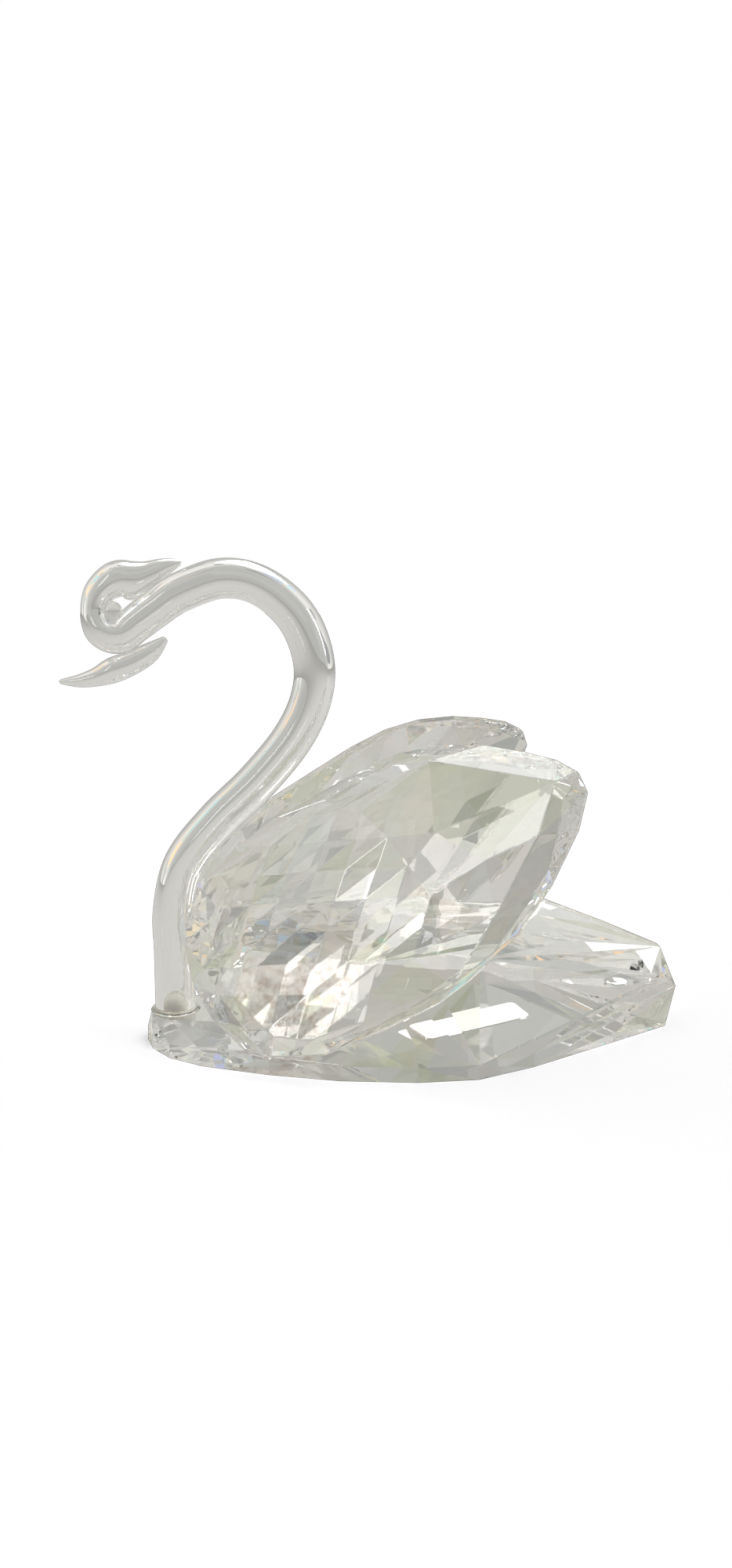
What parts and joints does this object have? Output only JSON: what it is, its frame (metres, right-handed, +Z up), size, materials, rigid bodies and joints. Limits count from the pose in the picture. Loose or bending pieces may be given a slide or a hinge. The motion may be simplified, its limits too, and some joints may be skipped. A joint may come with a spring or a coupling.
{
  "type": "crystal glass swan figurine",
  "caption": "Clear cut-crystal swan: faceted hull, two spread faceted wings, an S-bent glass rod neck with folded head and a fused beak.",
  "frame": {"origin": "on the table plane under the flat underside, in the swan's mirror plane, 78 mm behind the front end of the underside", "axes": "+Z up, +X toward the tail (the head points to -X), +Y toward the swan's right"},
  "size_m": [0.2054, 0.1234, 0.1602],
  "materials": {
    "cut_crystal": "polished",
    "rod_glass": "polished",
    "clear_bond": "satin",
    "label_paper": "matte"
  },
  "bodies": {
    "root": {"hull_crystal": "cut_crystal", "left_wing": "cut_crystal", "right_wing": "cut_crystal", "neck_and_head_rod": "rod_glass", "beak": "rod_glass", "crest_weld_bead": "rod_glass", "neck_foot_bond": "clear_bond", "left_wing_bond": "clear_bond", "right_wing_bond": "clear_bond", "underside_label": "label_paper"}
  },
  "joints": []
}
